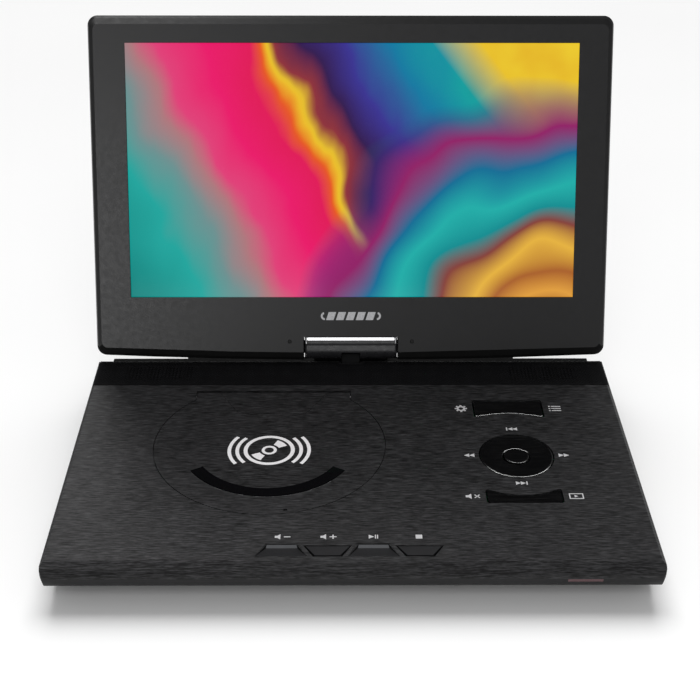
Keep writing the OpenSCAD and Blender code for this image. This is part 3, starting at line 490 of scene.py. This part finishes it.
def on_bezel_edge(centre, normal):
    return normal.dot(OUT) < math.cos(math.radians(14))


def on_bezel_bottom(centre, normal):
    return normal.dot(UP) < -0.15 and on_bezel_edge(centre, normal)


def in_hinge_notch(centre, normal):
    return abs(centre.x) < NOTCH_HALF and (centre - HINGE).dot(UP) < NOTCH_TOP


def is_key_rise(centre, normal):
    return normal.z > 0.2 and normal.y < -0.3


def on_front_face(centre, normal):
    return LIP_SPLIT < centre.z and centre.y < FRONT + LIP_DEPTH and normal.y < 0


def on_rear_ledge(centre, normal):
    return centre.y > LEDGE_START and normal.z > 0.2


# the lid's notch round the hinge: half its width, and its top's height up the lid from the axis
NOTCH_HALF, NOTCH_TOP = 32.2 * MM, 9.4 * MM
LIP_SPLIT = DECK - 7.4 * MM     # height at which the brushed finish ends on the front
LIP_DEPTH = 9 * MM              # how far the front's slanting face reaches back
LEDGE_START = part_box("speaker_grille")[1].y + 0.2 * MM
# a darker copy of the bezel plastic for the lid bezel's bevels: painted shade
bezel_edge_shade = plastic("bezel_plastic", 0.36, grain=0.3 * MM, depth=0.001 * MM, cloud=0.04, gain=0.3,
                     Specular_IOR_Level=0.35)
bezel_edge_shade.name = "bezel_edge_shade"
# near-black rubber that stands for shade: painted shade on the bezel's lower bevel, round the hinge notch and on
# the rear ledge's top
painted_shade_black = plastic("rubber", 0.8, grain=0.3 * MM, gain=0.15, Specular_IOR_Level=0.1)
painted_shade_black.name = "painted_shade_black"
# a lighter grey for the keys' rising rear facets: painted highlight
key_rise_highlight = plastic("knob_grey", 0.4, grain=0.2 * MM, depth=0.004 * MM, gain=0.4)
key_rise_highlight.name = "key_rise_highlight"
band_cuts = [(HINGE + v * UP, UP) for band in BRIGHT_BANDS for v in band]
# painted shade: the hinge frame's chrome outside the bright bands becomes black plastic
second_finish("hinge_frame", materials["hinge_plastic"], frame_in_painted_shade, band_cuts)
# painted shade: the lid bezel's bevels take the darker copy of its plastic
second_finish("lid_bezel", bezel_edge_shade, on_bezel_edge)
# painted shade: the bezel's lower bevel and the hinge notch's walls made near black
second_finish("lid_bezel", painted_shade_black, on_bezel_bottom)
second_finish("lid_bezel", painted_shade_black, in_hinge_notch)
second_finish("lid_back", painted_shade_black, in_hinge_notch)
# painted highlight: the rising rear facets of these keys in lighter grey
for key_node in ("key_volume_down", "key_play"):
    second_finish(key_node, key_rise_highlight, is_key_rise)
# painted shade: the rear ledge's top made near black
second_finish("bottom_case", painted_shade_black, on_rear_ledge)
# the brushed finish runs a little way down the lower shell's front
lip_cut = (Vector((0, 0, LIP_SPLIT)), Vector((0, 0, 1)))
second_finish("bottom_case", materials["deck_brushed"], on_front_face, [lip_cut])


# ---- picture ----


def slab(name, low, high, edge, body, material, matrix=None):
    """A closed slab between two corners with rounded edges."""
    bm = bmesh.new()
    bmesh.ops.create_cube(bm, size=1)
    centre, size = (low + high) / 2, high - low
    for v in bm.verts:
        v.co = Vector([centre[i] + v.co[i] * size[i] for i in range(3)])
    bmesh.ops.bevel(bm, geom=list(bm.edges), offset=edge, offset_type="OFFSET", segments=3, profile=0.5,
                    affect="EDGES", clamp_overlap=True)
    return add_piece(name, mesh_from(bm, name), body, material, matrix)


panel_low, panel_high = lid_box("lcd_panel")
panel_mid = (panel_low + panel_high) / 2
panel_half = (panel_high - panel_low) / 2
picture = slab("lcd_panel.picture", -panel_half, panel_half, 0.3 * MM, "screen",
               lit_picture("screen_glass", 2 * panel_half.x, 2 * panel_half.y),
               lid_matrix(*panel_mid))
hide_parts("lcd_panel")
# the polished keys and the door's window don't mirror the picture
picture.visible_glossy = False
pieces["backlight_frame"].visible_glossy = False


# ---- printed signs ----


def bar(x0, y0, x1, y1):
    return [(x0, y0), (x1, y0), (x1, y1), (x0, y1)]


def arrow(x, y, size, way=1):
    """A solid triangle that points along +X, or -X where way is -1."""
    reach = way * size * 0.45
    return [(x - reach, y - size / 2), (x + reach, y), (x - reach, y + size / 2)]


def arc_bands(x, y, r_in, r_out, start, end, steps=24):
    """A curved stroke as a row of four-sided pieces, from angle start to end in degrees."""
    angles = [math.radians(start + (end - start) * i / steps) for i in range(steps + 1)]
    inner = [(x + r_in * math.cos(a), y + r_in * math.sin(a)) for a in angles]
    outer = [(x + r_out * math.cos(a), y + r_out * math.sin(a)) for a in angles]
    return [[inner[i], outer[i], outer[i + 1], inner[i + 1]] for i in range(steps)]


def turned(shape, angle, x=0.0, y=0.0):
    c, s = math.cos(math.radians(angle)), math.sin(math.radians(angle))
    return [(x + px * c - py * s, y + px * s + py * c) for px, py in shape]


def gear():
    teeth = [turned(bar(1.75, -0.42, 2.6, 0.42), a) for a in range(0, 360, 45)]
    return arc_bands(0, 0, 1.0, 1.9, 0, 360) + teeth


def list_lines():
    rows = [bar(-1.4, y - 0.3, 2.6, y + 0.3) for y in (-1.6, 0, 1.6)]
    return rows + [bar(-2.6, y - 0.35, -1.9, y + 0.35) for y in (-1.6, 0, 1.6)]


def speaker_sign():
    return [[(-3.1, -0.7), (-2.0, -0.7), (-0.7, -1.8), (-0.7, 1.8), (-2.0, 0.7), (-3.1, 0.7)]]


def muted():
    cross = [turned(bar(-1.5, -0.26, 1.5, 0.26), a, 1.7, 0) for a in (45, -45)]
    return speaker_sign() + cross


def quieter():
    return speaker_sign() + [bar(0.8, -0.3, 3.6, 0.3)]


def louder():
    return speaker_sign() + [bar(0.8, -0.3, 2.0, 0.3), bar(2.0, -1.4, 2.6, 1.4), bar(2.6, -0.3, 3.8, 0.3)]


def screen_sign():
    sides = [bar(-3, -1.9, 3, -1.4), bar(-3, 1.4, 3, 1.9), bar(-3, -1.4, -2.5, 1.4), bar(2.5, -1.4, 3, 1.4)]
    return sides + [arrow(0, 0, 1.7)]


def skip(way):
    stop = bar(2.1, -1.35, 2.7, 1.35) if way > 0 else bar(-2.7, -1.35, -2.1, 1.35)
    return [arrow(-1.6 * way, 0, 2.7, way), arrow(0.7 * way, 0, 2.7, way), stop]


def wind(way):
    return [arrow(-1.2 * way, 0, 2.9, way), arrow(1.3 * way, 0, 2.9, way)]


def play_pause():
    return [arrow(-0.9, 0, 3.0), bar(0.75, -1.45, 1.3, 1.45), bar(1.75, -1.45, 2.3, 1.45)]


def stop_square():
    return [bar(-1.6, -1.5, 1.6, 1.5)]


def disc_sign():
    """A plain disc with two glints, between two pairs of sound waves."""
    shapes = arc_bands(0, 0, 13.2, 15.6, 0, 360, 96) + arc_bands(0, 0, 2.8, 4.6, 0, 360, 48)
    for side in (0, 180):
        shapes += arc_bands(0, 0, 6.2, 11.6, side + 24, side + 66, 16)
        shapes += arc_bands(0, 0, 18.4, 20.6, side - 42, side + 42, 32)
        shapes += arc_bands(0, 0, 23.2, 25.4, side - 36, side + 36, 32)
    return shapes


def badge_sign():
    """A plain badge: five slanting bars between two rounded ends."""
    lean = 0.9
    bars = [[(x - 2.5 - lean, -2.7), (x + 2.5 - lean, -2.7), (x + 2.5 + lean, 2.7), (x - 2.5 + lean, 2.7)]
            for x in (-13.2, -6.6, 0, 6.6, 13.2)]
    return bars + arc_bands(17.4, 0, 1.4, 2.7, -90, 75, 16) + arc_bands(-17.4, 0, 1.4, 2.7, 105, 270, 16)


PRINT_DEPTH = 0.03 * MM


def sign(name, shapes, matrix, body, material, depth=PRINT_DEPTH, scale=1.0):
    """Prints shapes, drawn in millimetres and scaled, as a thin raised layer in matrix's frame."""
    bm = bmesh.new()
    for shape in shapes:
        points = [Vector((x * scale * MM, y * scale * MM, 0)) for x, y in shape]
        area = sum(a.x * b.y - b.x * a.y for a, b in zip(points, points[1:] + points[:1]))
        if area < 0:
            points.reverse()
        low = [bm.verts.new(p) for p in points]
        high = [bm.verts.new(p + Vector((0, 0, depth))) for p in points]
        bm.faces.new(high)
        bm.faces.new(low[::-1])
        for i in range(len(points)):
            j = (i + 1) % len(points)
            bm.faces.new((low[i], low[j], high[j], high[i]))
    return add_piece(name, mesh_from(bm, name), body, material, matrix)


def on_deck(x, y):
    return Matrix.Translation((x, y, DECK))


upper, lower = middle("setup_menu_rocker"), middle("mute_mode_rocker")
SIGN_GAP = 8.4 * MM             # from a rocker's end to the middle of the sign beside it
SIGN_RING = 28.7 * MM           # distance of the four arrows' signs from the pad's centre
KEY_SIGN = 27.5 * MM            # distance of the keys' signs behind the front edge
DISC_SIGN = 6.5 * MM            # distance of the disc sign before the door's centre
side_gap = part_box("setup_menu_rocker")[1].x - upper.x + SIGN_GAP
deck_signs = {
    "sign_setup": (gear(), upper.x - side_gap, upper.y, 1.5),
    "sign_menu": (list_lines(), upper.x + side_gap, upper.y, 1.5),
    "sign_mute": (muted(), lower.x - side_gap, lower.y, 1.4),
    "sign_mode": (screen_sign(), lower.x + side_gap, lower.y, 1.4),
    "sign_previous": (skip(-1), PAD.x, PAD.y + SIGN_RING, 1.25),
    "sign_next": (skip(1), PAD.x, PAD.y - SIGN_RING, 1.25),
    "sign_rewind": (wind(-1), PAD.x - SIGN_RING, PAD.y, 1.25),
    "sign_forward": (wind(1), PAD.x + SIGN_RING, PAD.y, 1.25),
    "sign_quieter": (quieter(), middle("key_volume_down").x, FRONT + KEY_SIGN, 1.3),
    "sign_louder": (louder(), middle("key_volume_up").x, FRONT + KEY_SIGN, 1.3),
    "sign_play": (play_pause(), middle("key_play").x, FRONT + KEY_SIGN, 1.15),
    "sign_stop": (stop_square(), middle("key_stop").x, FRONT + KEY_SIGN, 1.15),
}
for sign_name, (drawn, sign_x, sign_y, sign_scale) in deck_signs.items():
    sign(sign_name, drawn, on_deck(sign_x, sign_y), "base", ink, scale=sign_scale)
sign("sign_disc", disc_sign(), on_deck(DOOR.x, DOOR.y - DISC_SIGN), "door", bright_ink)

bezel_face = lid_box("lid_bezel")[1].z
BADGE_HEIGHT = 23 * MM          # of the badge's middle, up the lid from the hinge axis
sign("badge", badge_sign(), lid_matrix(0, BADGE_HEIGHT, bezel_face), "screen", badge_metal,
     depth=0.12 * MM)


# ---- speaker mesh ----

STRIP_LOW, STRIP_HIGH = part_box("speaker_grille")
REAR_ROLL = 10 * MM             # radius of the rolled rear edge
STRIP_FLAT = STRIP_HIGH.y - REAR_ROLL - STRIP_LOW.y
STRIP_LENGTH = STRIP_FLAT + REAR_ROLL * math.pi / 2 + DECK - REAR_ROLL - STRIP_LOW.z
NECK_HALF = 8 * MM              # half the gap that the mesh leaves for the hinge's neck
MESH_TOP = 0.30 * MM            # the mesh stands this far over its lining


def strip_point(x, s, over=0.0):
    """A point of the speaker strip: x across, s along its section from the front, over its surface."""
    if s <= STRIP_FLAT:
        return Vector((x, STRIP_LOW.y + s, DECK + over))
    turn = min((s - STRIP_FLAT) / REAR_ROLL, math.pi / 2)
    drop = s - STRIP_FLAT - REAR_ROLL * turn
    r = REAR_ROLL + over
    y = STRIP_HIGH.y - REAR_ROLL + r * math.sin(turn)
    return Vector((x, y, DECK - REAR_ROLL + r * math.cos(turn) - drop))


def strip_patch(bm, x0, x1, s0, s1, low, high, step=1.2 * MM):
    """A solid band of the strip between x0 and x1, and between s0 and s1 along its section."""
    rows = max(1, round((s1 - s0) / step))
    grid = []
    for over in (low, high):
        grid.append([[bm.verts.new(strip_point(x, s0 + (s1 - s0) * i / rows, over)) for x in (x0, x1)]
                     for i in range(rows + 1)])
    bottom, top = grid
    for i in range(rows):
        bm.faces.new((top[i][0], top[i][1], top[i + 1][1], top[i + 1][0]))
        bm.faces.new((bottom[i][0], bottom[i + 1][0], bottom[i + 1][1], bottom[i][1]))
        bm.faces.new((bottom[i][0], top[i][0], top[i + 1][0], bottom[i + 1][0]))
        bm.faces.new((bottom[i][1], bottom[i + 1][1], top[i + 1][1], top[i][1]))
    bm.faces.new((bottom[0][0], bottom[0][1], top[0][1], top[0][0]))
    bm.faces.new((bottom[rows][0], top[rows][0], top[rows][1], bottom[rows][1]))


MESH_PITCH = 1.55 * MM          # between holes, along the slanting rows
MESH_OPEN = 0.66                # a hole's share of the pitch


def speaker_mesh():
    """A sheet of slanting rows of square holes, bent over the rear edge."""
    bm = bmesh.new()
    edge = HALF_WIDTH - 2.6 * MM
    margin = 1.0 * MM
    hole_half = MESH_OPEN * MESH_PITCH / 2
    corners = {}

    def corner(i, j, over):
        key = (i, j, over)
        if key not in corners:
            a, b = i * MESH_PITCH, j * MESH_PITCH
            corners[key] = bm.verts.new(strip_point((a - b) / math.sqrt(2), (a + b) / math.sqrt(2), over))
        return corners[key]

    count = int((edge + STRIP_LENGTH) * math.sqrt(2) / MESH_PITCH) + 2
    for i in range(-count, count):
        for j in range(-count, count):
            a, b = (i + 0.5) * MESH_PITCH, (j + 0.5) * MESH_PITCH
            x, s = (a - b) / math.sqrt(2), (a + b) / math.sqrt(2)
            if abs(x) > edge or not margin < s < STRIP_LENGTH - margin:
                continue
            if abs(x) < NECK_HALF + margin and s > STRIP_FLAT - 2 * MM - margin:
                continue
            rings = []
            for over in (0.05 * MM, MESH_TOP):
                outer = [corner(i + p, j + q, over) for p, q in ((0, 0), (1, 0), (1, 1), (0, 1))]
                inner = []
                for p, q in ((-1, -1), (1, -1), (1, 1), (-1, 1)):
                    u, v = a + p * hole_half, b + q * hole_half
                    point = strip_point((u - v) / math.sqrt(2), (u + v) / math.sqrt(2), over)
                    inner.append(bm.verts.new(point))
                rings.append((outer, inner))
            (low_out, low_in), (top_out, top_in) = rings
            for k in range(4):
                n = (k + 1) % 4
                bm.faces.new((top_out[k], top_out[n], top_in[n], top_in[k]))
                bm.faces.new((low_out[n], low_out[k], low_in[k], low_in[n]))
                bm.faces.new((top_in[k], top_in[n], low_in[n], low_in[k]))
    bmesh.ops.recalc_face_normals(bm, faces=bm.faces)
    return mesh_from(bm, "speaker_mesh")


mesh_plastic = plastic("grille_plastic", 0.6, grain=0.2 * MM, depth=0.004 * MM, gain=0.25,
                       Specular_IOR_Level=0.1)
mesh_plastic.name = "grille_mesh"
add_piece("speaker_mesh", speaker_mesh(), "base", mesh_plastic)


def mesh_border():
    """The solid border round the mesh, with a notch for the neck."""
    bm = bmesh.new()
    wide = 1.8 * MM
    outer = HALF_WIDTH - 1.1 * MM
    low, high = -0.1 * MM, MESH_TOP + 0.04 * MM
    notch = STRIP_FLAT - 3 * MM
    strip_patch(bm, -outer, outer, 0.05 * MM, wide, low, high)
    for side in (-1, 1):
        x0, x1 = sorted((side * outer, side * (outer - 2 * MM)))
        strip_patch(bm, x0, x1, wide, STRIP_LENGTH - wide, low, high)
        x0, x1 = sorted((side * outer, side * NECK_HALF))
        strip_patch(bm, x0, x1, STRIP_LENGTH - wide, STRIP_LENGTH, low, high)
        x0, x1 = sorted((side * NECK_HALF, side * (NECK_HALF + wide)))
        strip_patch(bm, x0, x1, notch + wide, STRIP_LENGTH - wide, low, high)
    strip_patch(bm, -NECK_HALF - wide, NECK_HALF + wide, notch, notch + wide, low, high)
    return mesh_from(bm, "mesh_border")


add_piece("mesh_border", mesh_border(), "base", mesh_plastic)

# ---- studio ----

FLOOR_HALF = 30                 # metres from the floor's middle to its sides
FLOOR_GAP = 0.2 * MM            # the feet stand this far over the floor
WORLD_LIGHT = 0.34              # strength of the even light from all round


def studio_floor():
    made = Shader("studio_floor", Roughness=0.7, Specular_IOR_Level=0.1)
    faint = made.tone(made.noise(0.4, detail=2), 0, 1)
    made.link(made.blend(faint, (0.88, 0.88, 0.88, 1), (0.90, 0.90, 0.90, 1)), "Base Color")
    bm = bmesh.new()
    bmesh.ops.create_grid(bm, x_segments=8, y_segments=8, size=FLOOR_HALF)
    floor = bpy.data.objects.new("studio_floor", mesh_from(bm, "studio_floor"))
    bpy.context.scene.collection.objects.link(floor)
    floor.location = (0, 0.8, cad_box[0].z - FLOOR_GAP)
    floor.data.materials.append(made.material)


def aim(thing, target):
    thing.rotation_euler = (Vector(target) - thing.location).to_track_quat("-Z", "Y").to_euler()


def area_light(name, place, target, size, power, size_y=None):
    data = bpy.data.lights.new(name, "AREA")
    data.shape = "RECTANGLE"
    data.size, data.size_y = size, size_y or size
    data.energy = power
    made = bpy.data.objects.new(name, data)
    bpy.context.scene.collection.objects.link(made)
    made.location = place
    aim(made, target)
    return made


def sun(name, place, strength, angle):
    """A sun that shines from place towards the origin, with a soft edge."""
    data = bpy.data.lights.new(name, "SUN")
    data.energy = strength
    data.angle = math.radians(angle)
    made = bpy.data.objects.new(name, data)
    bpy.context.scene.collection.objects.link(made)
    made.location = place
    aim(made, (0, 0, 0))
    return made


studio_floor()
world = bpy.data.worlds.new("studio")
bpy.context.scene.world = world
world.use_nodes = True
world.node_tree.nodes["Background"].inputs["Color"].default_value = (1, 1, 1, 1)
world.node_tree.nodes["Background"].inputs["Strength"].default_value = WORLD_LIGHT
# the sun is broad and high behind the player, and nothing mirrors its disc
sun("rear_sun", (0, 1.0, 1.54), 2.6, 44).visible_glossy = False
area_light("front_fill", (0, -1.5, 1.2), (0, -0.1, 0), 1.2, 9).visible_glossy = False


# points of the player that the sheens are turned towards
DECK_MIDDLE = (-0.05, -0.05, 0.03)
DECK_CONTROLS = (0.1, -0.05, 0.03)
DECK_RIGHT = (0.17, 0, 0.03)
DECK_FRONT = (-0.05, -0.15, 0.02)
LID_LEFT = (-0.15, 0.1, 0.15)
LID_TOP = (-0.1, 0.14, 0.22)
HINGE_BAR = (0, 0.07, 0.04)


def sheen(name, place, target, size, power, nodes):
    """A box that shows only as sheen, on the pieces that stand for some nodes. Size is its two sides."""
    wide, deep = size
    box = area_light(name, place, target, wide, power, deep)
    box.visible_diffuse = False
    lit = bpy.data.collections.new(name + "_lit")
    for node in nodes:
        lit.objects.link(pieces[node])
    box.light_linking.receiver_collection = lit


sheen("deck_sheen", (-0.3, 1.3, 1.05), DECK_MIDDLE, (0.7, 0.6), 6,
      ("deck_cover", "disc_door", "speaker_grille", "bottom_case"))
sheen("lid_sheen", (-0.75, -1.6, 0.5), LID_LEFT, (0.7, 0.5), 9, ("lid_bezel",))
# the lid's top bevel has two facets, and each mirrors one of these
sheen("top_sheen", (-0.44, -0.45, 1.26), LID_TOP, (0.6, 0.4), 4, ("lid_bezel",))
sheen("crown_sheen", (-0.44, 0.49, 1.37), LID_TOP, (0.6, 0.4), 4, ("lid_bezel",))
sheen("bar_sheen", (-0.1, -1.6, 0.38), HINGE_BAR, (0.9, 0.3), 2,
      ("hinge_frame", "hinge_block", "tilt_washers"))
sheen("edge_sheen", (1.05, 1.2, 0.2), DECK_RIGHT, (0.5, 0.35), 0.8, ("deck_cover", "speaker_grille"))
sheen("roll_sheen", (-0.55, -0.65, 1.1), DECK_FRONT, (0.8, 0.4), 2.9, ("deck_cover", "bottom_case"))
polished = ("direction_pad", "setup_menu_rocker", "mute_mode_rocker")
sheen("rim_left", (-0.65, 0.15, 1.05), DECK_CONTROLS, (0.5, 0.3), 16, polished)
sheen("rim_right", (1.05, 0.25, 0.85), DECK_CONTROLS, (0.5, 0.3), 16, polished)
sheen("rim_sheen", (0.1, -0.4, 1.25), (0.05, -0.05, 0.03), (4.4, 0.2), 200,
      polished + ("ok_button", "door_window"))

# ---- camera ----

CAMERA_LEFT = 6.6 * MM           # of the player's middle
CAMERA_BEFORE_FRONT = 579.4 * MM
CAMERA_HEIGHT = 502.1 * MM
CAMERA_DOWN, CAMERA_SIDE, CAMERA_ROLL = (math.radians(a) for a in (30.308, 0.434, 0.170))
camera_data = bpy.data.cameras.new("camera")
camera_data.lens = 70.60
camera_data.sensor_width = 36
camera = bpy.data.objects.new("camera", camera_data)
bpy.context.scene.collection.objects.link(camera)
camera.matrix_world = (
    Matrix.Translation((-CAMERA_LEFT, FRONT - CAMERA_BEFORE_FRONT, CAMERA_HEIGHT))
    @ Matrix.Rotation(-CAMERA_SIDE, 4, "Z")
    @ Matrix.Rotation(math.pi / 2 - CAMERA_DOWN, 4, "X")
    @ Matrix.Rotation(CAMERA_ROLL, 4, "Z")
)
camera_data.clip_start, camera_data.clip_end = 0.01, 50
bpy.context.scene.camera = camera
bpy.context.scene.view_settings.view_transform = "Standard"
